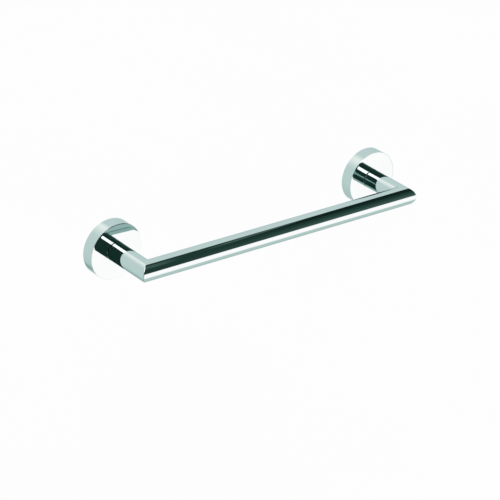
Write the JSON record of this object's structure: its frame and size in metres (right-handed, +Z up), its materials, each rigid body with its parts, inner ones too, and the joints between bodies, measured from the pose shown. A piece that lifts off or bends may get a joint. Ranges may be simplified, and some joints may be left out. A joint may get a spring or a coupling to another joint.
{
  "type": "towel rail",
  "caption": "Wall-mounted polished chrome towel rail: a straight round bar with mitred corners that return to short legs, each on a plain round flange with a hidden wall plate.",
  "frame": {"origin": "in the plane of the wall, half way between the axes of the two legs, which is the centre of the pattern of wall screws", "axes": "+X along the rail to the right as seen by a person facing the wall, +Y into the wall, +Z up"},
  "size_m": [0.36, 0.0665, 0.055],
  "materials": {
    "polished_chrome": "polished",
    "turned_brass": "satin",
    "cast_zinc": "matte",
    "screw_steel": "satin"
  },
  "bodies": {
    "root": {"front_tube": "polished_chrome", "left_leg_tube": "polished_chrome", "right_leg_tube": "polished_chrome", "left_flange": "polished_chrome", "right_flange": "polished_chrome", "left_leg_insert": "turned_brass", "right_leg_insert": "turned_brass", "left_wall_plate": "cast_zinc", "right_wall_plate": "cast_zinc", "left_grub_screw": "screw_steel", "right_grub_screw": "screw_steel", "left_spring_washer": "screw_steel", "right_spring_washer": "screw_steel", "left_retaining_screw": "screw_steel", "right_retaining_screw": "screw_steel"}
  },
  "joints": []
}
